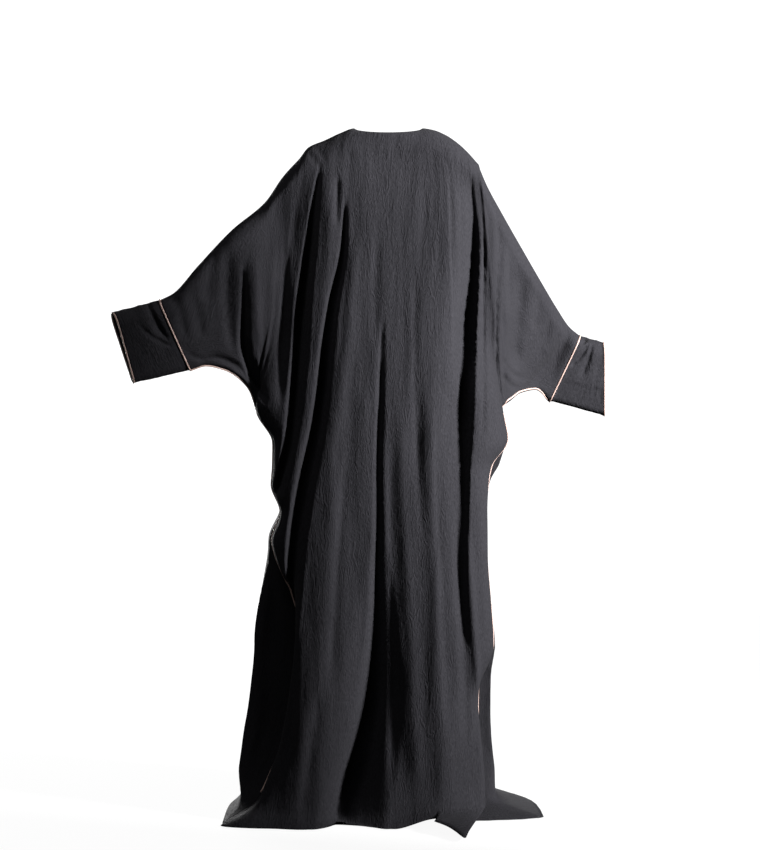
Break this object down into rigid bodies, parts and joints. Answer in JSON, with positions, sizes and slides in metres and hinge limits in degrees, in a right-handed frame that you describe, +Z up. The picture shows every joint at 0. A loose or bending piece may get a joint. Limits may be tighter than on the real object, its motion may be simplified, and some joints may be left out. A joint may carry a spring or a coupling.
{
  "type": "abaya",
  "caption": "Floor-length abaya with batwing sleeves, set-on cuffs and contrast piping, worn form with both arms held out.",
  "frame": {"origin": "middle of the neck opening, where the wearer's neck and shoulders carry the garment", "axes": "+X is the wearer's right, +Y is ahead of the wearer, +Z is up"},
  "size_m": [1.1348, 0.6417, 1.5397],
  "materials": {
    "crepe": "matte",
    "piping": "satin"
  },
  "bodies": {
    "root": {"back": "crepe", "front_left": "crepe", "front_right": "crepe", "cuff_left": "crepe", "cuff_join_piping_left": "piping", "cuff_end_piping_left": "piping", "side_piping_left": "piping", "cuff_right": "crepe", "cuff_join_piping_right": "piping", "cuff_end_piping_right": "piping", "side_piping_right": "piping"}
  },
  "joints": []
}
